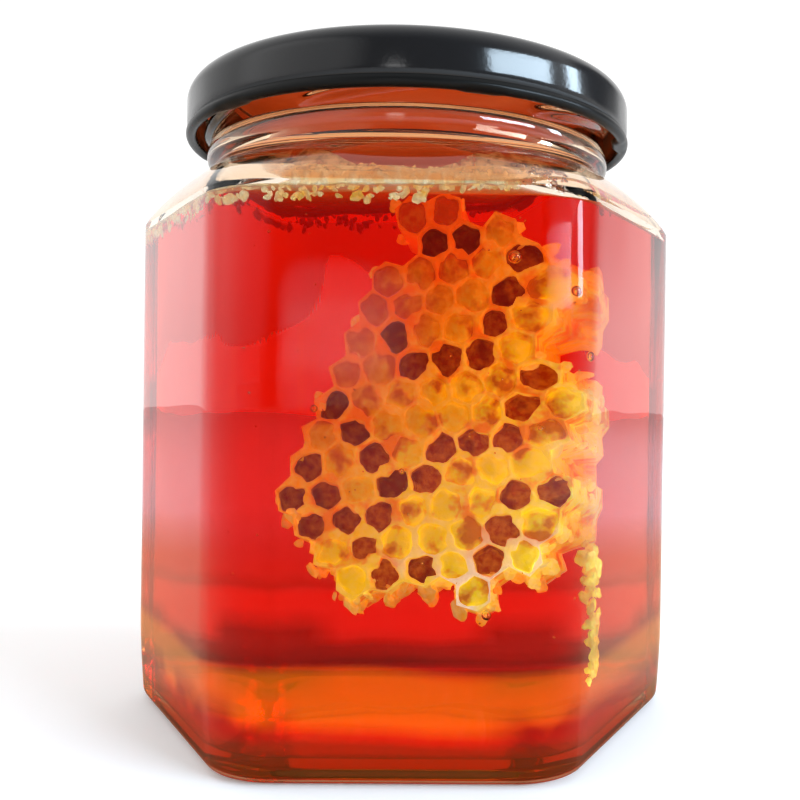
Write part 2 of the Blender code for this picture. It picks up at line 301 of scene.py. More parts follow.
THREADS = 6
THREAD_LOW_Z = 105.4 * MM
THREAD_RISE = 3.9 * MM
THREAD_SPAN = math.radians(50)
THREAD_START = math.radians(243)
THREAD_HALF = 1.0 * MM
THREAD_HEIGHT = 1.3 * MM
MID_HEIGHT = 60 * MM
HONEY_LINE = 90.3 * MM


def shell(name, rings, first_tip, last_tip, finish, smooth=math.radians(40)):
    """A closed skin through rings of points, with a point at each end, as an object."""
    mesh = bmesh.new()
    rows = [[mesh.verts.new(point) for point in points] for points in rings]
    count = len(rows[0])
    tips = [mesh.verts.new(first_tip), mesh.verts.new(last_tip)]
    for low, high in zip(rows, rows[1:]):
        for i in range(count):
            j = (i + 1) % count
            mesh.faces.new((low[i], low[j], high[j], high[i]))
    for i in range(count):
        j = (i + 1) % count
        mesh.faces.new((tips[0], rows[0][j], rows[0][i]))
        mesh.faces.new((tips[1], rows[-1][i], rows[-1][j]))
    return piece_of(name, mesh, finish, smooth)


def tangent_angle(apothem, corner):
    along_side = (apothem - corner) * math.tan(math.radians(30))
    return math.radians(30) - math.atan2(along_side, apothem)


def outline_radius(angle, apothem, corner):
    """Distance from the axis to a hexagon with round corners."""
    off_corner = abs((angle + math.radians(30)) % math.radians(60) - math.radians(30))
    if off_corner >= tangent_angle(apothem, corner):
        return apothem / math.cos(math.radians(30) - off_corner)
    centre = (apothem - corner) / math.cos(math.radians(30))
    return centre * math.cos(off_corner) + math.sqrt(corner**2 - (centre * math.sin(off_corner)) ** 2)


def directions(corner_steps=20, flat_steps=18):
    """Ring directions: close over each round corner, wider over each flat side."""
    reach = tangent_angle(APOTHEM, BODY_CORNER)
    over_corner = [-reach + 2 * reach * step / corner_steps for step in range(corner_steps)]
    flat_width = math.radians(60) - 2 * reach
    over_flat = [reach + flat_width * step / flat_steps for step in range(flat_steps)]
    return [math.radians(60) * sector + angle for sector in range(6) for angle in over_corner + over_flat]


ROUND = directions()


def ring(apothem, corner, height, angles=ROUND):
    radii = [outline_radius(angle, apothem, corner) for angle in angles]
    return [(r * math.cos(angle), r * math.sin(angle), height) for r, angle in zip(radii, angles)]


def circle(radius, height, angles=ROUND):
    return ring(radius, radius, height, angles)


def shoulder(apothem, corner, radius, start_z, steps):
    """Apothem, corner and height of each ring from the hexagon's side up to the round neck."""
    rows = []
    for step in range(steps + 1):
        turn = math.pi / 2 * step / steps
        inward = 1 - math.cos(turn) ** SHOULDER_POWER
        upward = math.sin(turn) ** SHOULDER_POWER
        rows.append((
            apothem + (radius - apothem) * inward,
            corner + (radius - corner) * inward,
            start_z + SHOULDER_RISE * upward,
        ))
    return rows


INNER_SHOULDER = shoulder(APOTHEM - WALL, BODY_CORNER - WALL, BORE_R, SHOULDER_Z - WALL / 2, 16)


def inner_wall(height):
    """Apothem and corner of the glass's inner face at a height in the shoulder."""
    for (apothem, corner, z), (next_apothem, next_corner, next_z) in zip(INNER_SHOULDER, INNER_SHOULDER[1:]):
        if height < next_z:
            share = max(0.0, (height - z) / (next_z - z))
            return apothem + (next_apothem - apothem) * share, corner + (next_corner - corner) * share
    return BORE_R, BORE_R


def thread_radius(angle, height):
    """The screw finish: six short ridges that rise as they go round and run out at both ends."""
    along = ((angle - THREAD_START) % (2 * math.pi / THREADS)) / THREAD_SPAN
    if along > 1:
        return FINISH_R
    middle = THREAD_LOW_Z + THREAD_RISE * along
    across = max(0.0, 1 - ((height - middle) / THREAD_HALF) ** 2)
    ends = min(1.0, 5 * along, 5 * (1 - along))
    return FINISH_R + THREAD_HEIGHT * ends * across


def jar_rings():
    rings = [
        ring(APOTHEM - PUNT_INSET, BASE_CORNER, PUNT_RISE),
        ring(APOTHEM - PUNT_INSET + 0.5 * PUNT_RISE, BASE_CORNER, 0.8 * PUNT_RISE),
        ring(APOTHEM - PUNT_INSET + PUNT_RISE, BASE_CORNER, 0.0),
    ]
    for step in range(9):
        turn = math.pi / 2 * step / 8
        inset = TAPER_INSET + (HEEL_INSET - TAPER_INSET) * (1 - math.sin(turn))
        rings.append(ring(APOTHEM - inset, BASE_CORNER, HEEL_TOP * (1 - math.cos(turn))))
    for step in range(1, 7):
        share = step / 6
        inset = TAPER_INSET * (1 - share) ** 1.5
        rings.append(ring(
            APOTHEM - inset,
            BASE_CORNER + (BODY_CORNER - BASE_CORNER) * share,
            HEEL_TOP + (TAPER_TOP - HEEL_TOP) * share,
        ))
    rings.append(ring(APOTHEM, BODY_CORNER, MID_HEIGHT))
    for apothem, corner, z in shoulder(APOTHEM, BODY_CORNER, NECK_R, SHOULDER_Z, 18):
        rings.append(ring(apothem, corner, z))
    rings.append(circle(NECK_R - 0.7 * GROOVE_DEPTH, GROOVE_Z - 0.6 * MM))
    rings.append(circle(NECK_R - GROOVE_DEPTH, GROOVE_Z))
    for step in range(9):
        turn = math.pi * (step + 0.5) / 9
        rise = (BEAD_R - FINISH_R) * math.sin(turn)
        rings.append(circle(FINISH_R + rise, BEAD_Z - BEAD_HALF * math.cos(turn)))
    first = THREAD_LOW_Z - THREAD_HALF
    last = THREAD_LOW_Z + THREAD_RISE + THREAD_HALF
    for row in range(20):
        z = first + (last - first) * row / 19
        rings.append([
            (thread_radius(angle, z) * math.cos(angle), thread_radius(angle, z) * math.sin(angle), z)
            for angle in ROUND
        ])
    for step in range(5):
        turn = math.pi / 2 * step / 4
        rings.append(circle(FINISH_R - RIM_ROUND * (1 - math.cos(turn)), RIM_Z - RIM_ROUND * (1 - math.sin(turn))))
    for step in range(5):
        turn = math.pi / 2 * step / 4
        rings.append(circle(BORE_R + RIM_ROUND * (1 - math.sin(turn)), RIM_Z - RIM_ROUND * (1 - math.cos(turn))))
    for apothem, corner, z in reversed(INNER_SHOULDER):
        rings.append(ring(apothem, corner, z))
    rings.append(ring(APOTHEM - WALL, BODY_CORNER - WALL, MID_HEIGHT))
    rings.append(ring(APOTHEM - WALL, BODY_CORNER - WALL, TAPER_TOP + FLOOR_HEEL))
    for step in range(9):
        turn = math.pi / 2 * step / 8
        apothem = APOTHEM - WALL - TAPER_INSET - FLOOR_HEEL * (1 - math.cos(turn))
        rings.append(ring(apothem, BASE_CORNER - WALL, FLOOR_Z + FLOOR_HEEL * (1 - math.sin(turn))))
    return rings


def glass_finish(name, tint, colour):
    """Clear glass: the tint scales its reflection seen straight on, the colour what passes each face."""
    return Finish(
        name, Base_Color=colour, Transmission_Weight=1.0, IOR=1.5, Roughness=0.0, Specular_Tint=(tint, tint, tint)
    )


# Where honey wets the glass their indices nearly match, so that face has next to no reflection of its own,
# and the front face only a weak one. Above the food the inside of the neck and shoulder carries a thin film
# of honey.
CLEAR = (1.0, 1.0, 1.0)
# The clear glass's amber colour is painted light: the glass itself is clear, and the amber stands in for
# honey-coloured light carried in it.
clear_glass = glass_finish("clear_glass", 0.8, (0.94, 0.7, 0.48))
wet_glass = glass_finish("wet_glass", 0.0, CLEAR)
over_honey = glass_finish("glass_over_honey", 0.3, CLEAR)
side_glass = glass_finish("side_glass", 1.0, CLEAR)
filmed_glass = glass_finish("filmed_glass", 0.6, (0.86, 0.5, 0.3))
# Painted light and shade on the glass: an orange glow is painted in a wavy strip over the floor, for light
# gathered by the honey, between a painted dark stroke and a painted dark heel, with a painted dark patch towards
# each corner.
WAVE = 4 * MM
for heel in (over_honey, side_glass):
    across, up = heel.axis("X"), heel.axis("Z") + heel.noise(30.0, 2.0) * WAVE - WAVE / 2
    patch = across.math("ABSOLUTE", across).between(13 * MM, 20 * MM) * heel.noise(70.0, 2.0).between(0.3, 0.45)
    patch = patch * (1.0 - up.between(9 * MM, 14 * MM))
    line = up.between(17.5 * MM, 18.5 * MM) * (1.0 - up.between(19.2 * MM, 21.5 * MM))
    low = 1.0 - up.between(6 * MM, 8 * MM)
    band = up.between(7.5 * MM, 10 * MM) * (1.0 - up.between(16.5 * MM, 18.5 * MM)) * (1.0 - patch)
    colour = heel.blend(line, heel.blend(patch, CLEAR, (0.35, 0.12, 0.06)), (0.7, 0.6, 0.5))
    glow = heel.blend(low, (0.0, 0.0, 0.0), (0.02, 0.011, 0.001))
    heel.set(
        Base_Color=heel.blend(low, colour, (0.3, 0.13, 0.07)),
        Emission_Color=heel.blend(band, glow, (0.18, 0.08, 0.0)),
        Emission_Strength=1.0,
    )
for waved in (clear_glass, over_honey, side_glass):
    waved.bump(waved.noise(28.0, 2.0), 0.12, 2 * MM)

# The finishes in the order of the jar's material slots. Sideways over forwards, a face's middle tells the
# front from the sides, and the round corner at the front right, whose upper part reflects next to nothing.
AIRY, WET, FRONT, FILMED, SIDEWARD = range(5)
FRONT_SPREAD = 0.68
CORNER_SPREAD = (0.466, 0.7)
CORNER_LOW = 40 * MM
jar = shell(
    "jar_glass", jar_rings(), (0, 0, PUNT_RISE), (0, 0, FLOOR_Z),
    [clear_glass, wet_glass, over_honey, filmed_glass, side_glass],
)
for polygon in jar.data.polygons:
    middle = polygon.center
    apothem, corner = inner_wall(middle.z)
    inner = middle.xy.length < outline_radius(math.atan2(middle.y, middle.x), apothem, corner) + 0.4 * WALL
    forward = -middle.y
    quiet = CORNER_SPREAD[0] * forward < middle.x < CORNER_SPREAD[1] * forward and middle.z > CORNER_LOW
    if middle.z > HONEY_LINE:
        polygon.material_index = FILMED if inner and middle.z < RIM_Z - RIM_ROUND else AIRY
    elif inner and middle.z > FLOOR_Z * 0.99 or quiet:
        polygon.material_index = WET
    else:
        polygon.material_index = FRONT if abs(middle.x) < FRONT_SPREAD * forward else SIDEWARD
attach(jar, "root")
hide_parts("glass_jar")


# Honey fills the jar up to the foam. It is clear and red amber, and wets the glass, so its face lies a
# tenth of a millimetre inside the wall and no air shows between them.
IN_WALL = 0.1 * MM
FOAM_UNDERSIDE = 90.5 * MM
FOAM_LEAN = 1.3 * MM
FOAM_BUMP = 0.5 * MM
FOAM_BUMP_SIZE = 11.0 * MM


def foam_underside(x, y):
    bump = noise.noise(Vector((x, y, 0)) / FOAM_BUMP_SIZE)
    return FOAM_UNDERSIDE + FOAM_LEAN * x / SIDE + FOAM_BUMP * bump


def food_ring(share, surface, reach):
    """A ring on an uneven surface, a share of the way out to the glass, and as far into it as given."""
    points = []
    for angle in ROUND:
        z = surface(0, 0)
        for _ in range(4):
            apothem, corner = inner_wall(z)
            radius = outline_radius(angle, apothem + reach, corner + reach) * share
            x, y = radius * math.cos(angle), radius * math.sin(angle)
            z = surface(x, y)
        points.append((x, y, z))
    return points


def honey_rings():
    rings = []
    for step in range(9):
        turn = math.pi / 2 * step / 8
        apothem = APOTHEM - WALL - TAPER_INSET + IN_WALL - FLOOR_HEEL * (1 - math.sin(turn))
        z = FLOOR_Z - IN_WALL + FLOOR_HEEL * (1 - math.cos(turn))
        rings.append(ring(apothem, BASE_CORNER - WALL + IN_WALL, z))
    for z in (TAPER_TOP + FLOOR_HEEL, MID_HEIGHT, INNER_SHOULDER[0][2]):
        rings.append(ring(APOTHEM - WALL + IN_WALL, BODY_CORNER - WALL + IN_WALL, z))
    for share in (1.0, 0.98, 0.9, 0.75, 0.5, 0.25):
        rings.append(food_ring(share, foam_underside, IN_WALL))
    return rings


amber_honey = Finish("amber_honey", Base_Color=CLEAR, Transmission_Weight=1.0, IOR=1.49, Roughness=0.0)
amber_honey.set(Specular_Tint=(0.0, 0.0, 0.0))
# Beer's law over 80 mm of this leaves most of the red, half a hundredth of the green and no blue.
depth = amber_honey.node("VolumeAbsorption", Color=(0.97, 0.56, 0.06), Density=150.0)
plug(amber_honey.tree, amber_honey.output.inputs["Volume"], depth)
honey = shell("honey_fill", honey_rings(), (0, 0, FLOOR_Z - IN_WALL), (0, 0, foam_underside(0, 0)), amber_honey)
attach(honey, "root")
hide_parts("honey")


# The comb is a slab of beeswax cut from a frame, with open and filled cells on both faces. It stands in the
# honey, right end and lower edge nearest the front glass, and its walls are a few tenths of a millimetre.
CELL_PITCH = 5.35 * MM
CELL_TURN = math.radians(9)
CELL_JITTER = 0.42 * MM
COMB_THICK = 15.0 * MM
COMB_CENTRE = Vector((6.2, -24.2, 58.0)) * MM
COMB_YAW = math.radians(-8)
COMB_LEAN = math.radians(12)
COMB_SEED = 11
COMB_OUTLINE = (
    (-5.2, 28.5), (9.5, 28.5), (15.5, 22), (17.5, 10), (17.5, 2.6), (19.5, -1), (20, -7), (20, -11),
    (19, -18), (15.5, -23.5), (15.5, -29.5), (9.9, -32), (3.5, -31), (-4, -30.5), (-13.3, -31),
    (-18, -30), (-19, -23.5), (-23.5, -21.5), (-24.5, -14), (-21.5, -9.5), (-16, -2),
    (-14.5, 12.3), (-11.5, 20.5), (-5, 20),
)
WALL_HALF = 0.2 * MM
CELL_DEEP = 5.2 * MM
FILLED_SHARE = 0.6
EDGE_PARTS = 4
# The finishes in the order of the comb's material slots.
ON_WALL, ON_FLOOR, ON_FILL = range(3)


def inside(point, outline):
    """Whether a point lies in an outline: a line from it crosses the outline an odd number of times."""
    crossings = 0
    for (x0, y0), (x1, y1) in zip(outline, outline[1:] + outline[:1]):
        if (y0 > point[1]) != (y1 > point[1]):
            crossings += point[0] < x0 + (point[1] - y0) / (y1 - y0) * (x1 - x0)
    return crossings % 2 == 1


def cell_centres():
    outline = [(across * MM, up * MM) for across, up in COMB_OUTLINE]
    reach = int(40 * MM / CELL_PITCH) + 2
    turn = Matrix.Rotation(CELL_TURN, 2)
    centres = []
    for row in range(-reach, reach + 1):
        for column in range(-reach, reach + 1):
            along = (column + 0.5 * (row % 2)) * CELL_PITCH
            centre = turn @ Vector((along, row * CELL_PITCH * math.cos(math.radians(30))))
            if inside(centre, outline):
                centres.append(centre)
    return centres


def comb_cells():
    """Each cell's six corners. Neighbours share corners, moved a little as in natural comb."""
    draw = random.Random(COMB_SEED)
    known = []
    cells = []
    for centre in cell_centres():
        corners = []
        for side in range(6):
            angle = math.radians(30 + 60 * side) + CELL_TURN
            point = centre + Vector((math.cos(angle), math.sin(angle))) * CELL_PITCH / math.sqrt(3)
            shared = [moved for first, moved in known if (first - point).length < 0.1 * CELL_PITCH]
            if not shared:
                shared = [point + Vector((draw.uniform(-1, 1), draw.uniform(-1, 1))) * CELL_JITTER]
                known.append((point, shared[0]))
            corners.append(shared[0])
        cells.append(corners)
    return cells


def cell_loop(corners, share_in, roundness, middle):
    """A loop inside a cell: its hexagon moved in by a distance, its corners rounded towards a circle."""
    points = []
    mean = sum((corner - middle).length for corner in corners) / 6
    for side in range(6):
        a, b = corners[side], corners[(side + 1) % 6]
        for part in range(EDGE_PARTS):
            point = a.lerp(b, part / EDGE_PARTS) - middle
            radius = point.length
            radius += (mean * 0.93 - radius) * roundness
            points.append(middle + point.normalized() * (radius - share_in))
    return points


def rim_rise(point, face):
    """How far the mouth of the comb stands proud or broken back here."""
    low = noise.noise(Vector((point.x, point.y, face)) * 90.0)
    fine = noise.noise(Vector((point.x, point.y, face + 5)) * 420.0)
    return (0.55 * low + 0.22 * fine) * MM


def cell_levels(filled, draw):
    """Loops from a cell's mouth inwards, as how far in, how round and how deep, and the depth of its middle."""
    deep = CELL_DEEP * draw.uniform(0.75, 1.1)
    thick = WALL_HALF * draw.uniform(0.8, 1.6)
    dome = draw.uniform(0.1, 0.8) * MM
    levels = [(0, 0, 0.0), (thick * 0.75, 0.25, 0.05 * MM), (thick * 1.25, 0.5, 0.35 * MM)]
    if filled:
        sunk = draw.uniform(0.1, 0.5) * MM
        levels.append((thick + 0.35 * MM, 0.6, sunk + 0.3 * MM))
        levels += [(1.1 * MM, 0.8, sunk), (1.9 * MM, 1.0, sunk - dome)]
        return levels, sunk - dome * 1.2
    levels += [(thick * 1.15, 0.45, 0.4 * deep), (thick * 1.3, 0.4, 0.85 * deep), (1.3 * MM, 0.6, deep)]
    return levels, deep + 0.5 * MM


def make_comb():
    draw = random.Random(COMB_SEED + 1)
    mesh = bmesh.new()
    half = COMB_THICK / 2
    edge_sides = {}
    for corners in comb_cells():
        middle = sum(corners, Vector((0, 0))) / 6
        for face in (-1, 1):
            filled = draw.random() < FILLED_SHARE
            levels, tip = cell_levels(filled, draw)
            loops = []
            for index, (move_in, roundness, down) in enumerate(levels):
                loop = []
                for point in cell_loop(corners, move_in, roundness, middle):
                    height = down - (rim_rise(point, face) if index < 3 else 0.0)
                    wobble = 0.0
                    if index:
                        wobble = 0.12 * MM * noise.noise(Vector((point.x, point.y, down)) * 600)
                        lump = noise.noise(Vector((point.x, point.y, 0.5 * down + face)) * 420)
                        point = point.lerp(middle, 0.5 * max(0.0, lump + 0.08))
                    loop.append(mesh.verts.new((point.x + wobble, face * (half - height), point.y - wobble)))
                loops.append(loop)
            count = len(loops[0])
            in_cell = ON_FILL if filled else ON_FLOOR
            first_in_cell = 2 if filled else 3
            for level, (outer, inner) in enumerate(zip(loops, loops[1:])):
                for i in range(count):
                    j = (i + 1) % count
                    side = mesh.faces.new((outer[i], outer[j], inner[j], inner[i]))
                    side.material_index = in_cell if level >= first_in_cell else ON_WALL
            bottom = mesh.verts.new((middle.x, face * (half - tip), middle.y))
            for i in range(count):
                side = mesh.faces.new((loops[-1][i], loops[-1][(i + 1) % count], bottom))
                side.material_index = in_cell
            for i in range(6):
                ends = frozenset((tuple(corners[i]), tuple(corners[(i + 1) % 6])))
                along = [loops[0][(EDGE_PARTS * i + part) % count] for part in range(EDGE_PARTS + 1)]
                edge_sides.setdefault(ends, {}).setdefault(face, []).append(along)
    # A cell side that no neighbour has is joined from the front face to the back face.
    for sides in edge_sides.values():
        if len(sides[-1]) == 1:
            front, back = sides[-1][0], sides[1][0]
            for (a, b), (c, d) in zip(zip(front, front[1:]), zip(back, back[1:])):
                mesh.faces.new((a, b, d, c))
    bmesh.ops.remove_doubles(mesh, verts=mesh.verts, dist=0.02 * MM)
    comb = piece_of("comb_slab", mesh, [comb_wax, cell_floor, cell_fill], math.radians(60))
    comb.matrix_world = comb_place()
    return comb


def comb_place():
    turn = Matrix.Rotation(COMB_YAW, 4, "Z") @ Matrix.Rotation(-COMB_LEAN, 4, "X")
    return Matrix.Translation(COMB_CENTRE) @ turn


def wax_grains(finish):
    return finish.noise(900.0, 3.0).between(0.35, 0.75)


def comb_finish(name, left, right, pale, glow, dry=0.0):
    """Wax that is redder up and left and yellower down and right, which is painted light: yellower where the comb
    lies nearer the front glass under less honey. Its emission is a painted glow. And, where dry, white on the
    lowest cell mouths.
    """
    finish = Finish(name, Roughness=0.4, Emission_Strength=glow)
    across, out, up = finish.axis("X"), finish.axis("Y"), finish.axis("Z")
    yellower_painted_light = (across - up * 0.75 + finish.noise(110.0, 2.0) * 30 * MM).between(-6 * MM, 26 * MM)
    grains = wax_grains(finish)
    colour = finish.blend(grains * (yellower_painted_light * 0.5 + 0.15), finish.blend(yellower_painted_light, left, right), pale)
    colour = finish.blend(finish.noise(240.0, 3.0).between(0.48, 0.62) * 0.85, colour, left)
    mouth = out.math("ABSOLUTE", out).between(COMB_THICK / 2 - 1.0 * MM, COMB_THICK / 2 - 0.2 * MM)
    lowest = (0.0 - up).between(20 * MM, 27 * MM) * across.between(-8 * MM, 2 * MM)
    white = mouth * lowest * finish.noise(120.0, 2.0).between(0.36, 0.5) * dry
    colour = finish.blend(white, colour, (1.0, 1.0, 1.0))
    finish.set(Base_Color=colour, Emission_Color=colour)
    finish.bump(grains, 0.5, 0.4 * MM)
    return finish


# Each comb finish's emission is a painted glow, for light through the wax. The cell floors' darker reds are
# painted shade, for the honey deep in the open cells.
comb_wax = comb_finish("comb_wax", (0.85, 0.22, 0.008), (1.0, 0.9, 0.06), (1.0, 0.95, 0.45), 0.5, 1.0)
cell_floor = comb_finish("cell_floor", (0.26, 0.02, 0.004), (0.5, 0.11, 0.01), (1.0, 0.75, 0.1), 0.18)
cell_fill = comb_finish("cell_fill", (0.5, 0.07, 0.004), (1.0, 0.87, 0.004), (1.0, 0.95, 0.2), 0.45)
comb = make_comb()
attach(comb, "root")
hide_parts("honeycomb")


# Torn wax hangs from the comb's lower and right edges, where it was cut and pulled: thin crumpled flakes, pale
# where they are dry. They stick to the cell walls.
FLAKE_STEPS = 14


def flake(mesh, draw, place, size):
    """One thin crumpled flake with two faces and a ragged edge, drawn at random."""
    spin = Matrix.Rotation(draw.uniform(0, 6.28), 3, "Y") @ Matrix.Rotation(draw.uniform(-0.9, 0.9), 3, "X")
    stretch = draw.uniform(0.45, 1.0)
    seed_point = Vector((draw.uniform(0, 90), draw.uniform(0, 90), draw.uniform(0, 90)))
    outlines = []
    for ring_share in (0.35, 0.7, 1.0):
        row = []
        for step in range(FLAKE_STEPS):
            angle = 2 * math.pi * step / FLAKE_STEPS
            ragged = 1 + 0.45 * noise.noise(seed_point + Vector((math.cos(angle), math.sin(angle), 0)) * 1.3)
            radius = size * ring_share * ragged
            flat = Vector((radius * math.cos(angle), 0, radius * math.sin(angle) * stretch))
            flat.y = 0.35 * size * noise.noise(seed_point + flat / size * 1.6)
            row.append(flat)
        outlines.append(row)
    half = min(0.35 * MM, 0.2 * size) / 2
    edges = []
    for side in (-1, 1):
        tip = mesh.verts.new(place + spin @ Vector((0, side * half, 0)))
        rows = []
        for row, thinned in zip(outlines, (0.8, 0.5, 0.15)):
            offset = Vector((0, side * half * thinned, 0))
            rows.append([mesh.verts.new(place + spin @ (point + offset)) for point in row])
        for i in range(FLAKE_STEPS):
            j = (i + 1) % FLAKE_STEPS
            mesh.faces.new((tip, rows[0][i], rows[0][j]))
            for low, high in zip(rows, rows[1:]):
                mesh.faces.new((low[i], low[j], high[j], high[i]))
        edges.append(rows[-1])
    for i in range(FLAKE_STEPS):
        j = (i + 1) % FLAKE_STEPS
        mesh.faces.new((edges[0][i], edges[0][j], edges[1][j], edges[1][i]))


def make_flakes(name, spots, seed, finish):
    """Flakes of wax as one piece, at the spots given, each a place and a size."""
    draw = random.Random(seed)
    mesh = bmesh.new()
    for place, size in spots:
        flake(mesh, draw, place, size)
    return piece_of(name, mesh, finish, math.radians(70))


def flake_wax(name, deep, light, pale, glow, relief=0.5):
    """Patches of darker and paler wax with a fine grain, and a painted glow for light through the thin wax."""
    finish = Finish(name, Roughness=0.45, Emission_Strength=glow)
    grains = wax_grains(finish)
    colour = finish.blend(finish.noise(150.0, 2.0).between(0.42, 0.58), deep, light)
    colour = finish.blend(grains * 0.5, colour, pale)
    finish.set(Base_Color=colour, Emission_Color=colour)
    finish.bump(grains, relief, 0.3 * MM)
    return finish


def comb_edge():
    """The comb's edge as one loop of corners: the cell sides that no neighbour has."""
    cells = comb_cells()
    corners = {tuple(corner): corner for around in cells for corner in around}
    sides = {(tuple(a), tuple(b)) for around in cells for a, b in zip(around, around[1:] + around[:1])}
    after = {a: b for a, b in sides if (b, a) not in sides}
    loop = [min(after)]
    while after[loop[-1]] != loop[0]:
        loop.append(after[loop[-1]])
    return [corners[corner] for corner in loop]


def torn_spots():
    """Places along the comb's edge, in its own frame: many along the bottom, some on the right."""
    draw = random.Random(5)
    spots = []
    for point in comb_edge():
        low = point.y < -24 * MM
        right = point.x > 14 * MM and point.y < 8 * MM
        for _ in range(5 if low else 3 if right else 1):
            depth_in = draw.uniform(-0.45, 0.1) * COMB_THICK
            out = point.normalized() * draw.uniform(-1.0, 1.0) * MM
            size = draw.uniform(0.7, 1.7) * MM
            spots.append((Vector((point.x + out.x, depth_in, point.y + out.y)), size))
    return spots


torn_wax = flake_wax("torn_wax", (0.95, 0.55, 0.04), (1.0, 0.85, 0.12), (1.0, 0.95, 0.8), 0.35)
torn = make_flakes("torn_wax", torn_spots(), 21, torn_wax)
torn.matrix_world = comb_place()
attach(torn, "root")


# A curtain of wax shreds hangs in the honey at the front right corner, below the comb's right edge. They are
# scraps that came off when the comb was cut, each held by the next one.
SHREDS = 70
SHRED_X = 29.5 * MM
SHRED_Y = -35.0 * MM
SHRED_TOP = 35 * MM
SHRED_DROP = 21 * MM


def shred_spots():
    """Places down a streak that narrows to half its width."""
    draw = random.Random(8)
    spots = []
    for step in range(SHREDS):
        down = step / (SHREDS - 1)
        x = SHRED_X + draw.uniform(-2.2, 2.2) * (1 - 0.5 * down) * MM
        y = SHRED_Y + draw.uniform(-1.5, 1.5) * MM
        z = SHRED_TOP - SHRED_DROP * down + draw.uniform(-1, 1) * MM
        spots.append((Vector((x, y, z)), draw.uniform(0.6, 1.6) * MM))
    return spots


shred_wax = flake_wax("shred_wax", (0.85, 0.36, 0.01), (1.0, 0.7, 0.02), (1.0, 0.85, 0.2), 0.3)
shreds = make_flakes("wax_shreds", shred_spots(), 33, shred_wax)
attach(shreds, "root")


# Wax foam is the froth of wax crumbs and small bubbles that floats up when honey settles. It is thick and
# ragged on the left, thinner to the right, and clings to the glass.
FOAM_TOP = 93.2 * MM
FOAM_OFF_WALL = 0.02 * MM


def foam_lumps(x, y, slice_z, scale):
    return noise.fractal(Vector((x, y, slice_z)) * scale, 0.6, 2.0, 3)


def foam_top(x, y):
    bump = noise.noise(Vector((x, y, FOAM_TOP)) / FOAM_BUMP_SIZE)
    return FOAM_TOP - 0.7 * MM + FOAM_BUMP * bump + 0.45 * MM * foam_lumps(x, y, 0.3, 420)


def foam_low(x, y):
    return foam_underside(x, y) - 0.15 * MM + 0.5 * MM * min(0.0, foam_lumps(x, y, 0.1, 330))


def make_foam():
    """Two uneven faces that meet just inside the glass."""
    shares = [0.12, 0.24, 0.36, 0.48, 0.6, 0.7, 0.78, 0.85, 0.9, 0.94, 0.97, 0.99, 1.0]
    rings = [food_ring(share, foam_low, -FOAM_OFF_WALL) for share in shares]
    rings += [food_ring(share, foam_top, -FOAM_OFF_WALL) for share in reversed(shares)]
    return shell("foam_layer", rings, (0, 0, foam_low(0, 0)), (0, 0, foam_top(0, 0)), foam_wax, math.radians(70))


foam_wax = Finish("foam_wax", Roughness=0.5)
patches = foam_wax.noise(150.0, 3.0).between(0.4, 0.62)
specks = foam_wax.noise(650.0, 4.0).between(0.45, 0.65)
colour = foam_wax.blend(patches, (0.95, 0.6, 0.2), (1.0, 0.84, 0.5))
colour = foam_wax.blend(specks, colour, (1.0, 0.92, 0.66))
# The foam's emission is a painted glow, for light that passes through the froth.
foam_wax.set(Base_Color=colour, Emission_Color=colour, Emission_Strength=0.16)
foam_wax.bump(specks + patches, 0.7, 0.6 * MM)
foam = make_foam()
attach(foam, "root")
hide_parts("wax_foam")


# Thinner froth is smeared up the inside of the shoulder at the corners, where honey ran back from the neck. It
# is a streaky film that clings to the glass.
SMEAR_GAP = 0.06 * MM
SMEAR_THICK = 0.35 * MM
SMEAR_ROWS = 14
SMEAR_LOW = 91.6 * MM


def smear_top(angle):
    """Height of the smear: high over each corner, nearly nothing over the middle of the flat sides."""
    off_corner = abs((angle + math.radians(30)) % math.radians(60) - math.radians(30))
    over_corner = max(0.0, 1 - off_corner / math.radians(21))
    ragged = noise.fractal(Vector((math.cos(angle), math.sin(angle), 0.2)) * 14, 0.7, 2.0, 4)
    return SMEAR_LOW + (0.9 + over_corner**0.7 * 4.4 + ragged * 0.9) * MM


def make_smear():
    """Two layers that follow the glass and close at the lower and upper edge, where they thin out."""
    mesh = bmesh.new()
    layers = []
    for depth_in in (SMEAR_GAP, SMEAR_GAP + SMEAR_THICK):
        columns = []
        for angle in ROUND:
            column = []
            for row in range(SMEAR_ROWS + 1):
                z = SMEAR_LOW + (smear_top(angle) - SMEAR_LOW) * row / SMEAR_ROWS
                apothem, corner = inner_wall(z)
                thin = depth_in if row < SMEAR_ROWS else 0.1 * MM + 0.3 * depth_in
                radius = outline_radius(angle, apothem, corner) - thin
                column.append(mesh.verts.new((radius * math.cos(angle), radius * math.sin(angle), z)))
            columns.append(column)
        layers.append(columns)
    count = len(ROUND)
    for columns in layers:
        for i in range(count):
            j = (i + 1) % count
            for row in range(SMEAR_ROWS):
                mesh.faces.new((columns[i][row], columns[j][row], columns[j][row + 1], columns[i][row + 1]))
    for row in (0, SMEAR_ROWS):
        for i in range(count):
            j = (i + 1) % count
            mesh.faces.new((layers[0][i][row], layers[0][j][row], layers[1][j][row], layers[1][i][row]))
    return piece_of("foam_smear", mesh, smear_wax)


smear_wax = Finish("smear_wax", Roughness=0.45)
streaks = smear_wax.node("Mapping", {"vector_type": "TEXTURE"}, Vector=smear_wax.place(), Scale=(1.0, 1.0, 6.0))
streaks = smear_wax.node("TexNoise", Vector=streaks, Scale=520.0, Detail=4.0)
smear_wax.set(
    Base_Color=smear_wax.blend(smear_wax.noise(200.0), (0.95, 0.62, 0.3), (1.0, 0.88, 0.66)),
    Alpha=streaks.between(0.36, 0.56),
)
smear_wax.bump(streaks, 0.4, 0.4 * MM)
smear = make_smear()
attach(smear, "root")


# Flakes of wax lie in the foam's edge along the glass, and some hang in the honey below it, lower down on the
# left. They floated up with the froth and stick to it.
FOAM_FLAKES = 1150


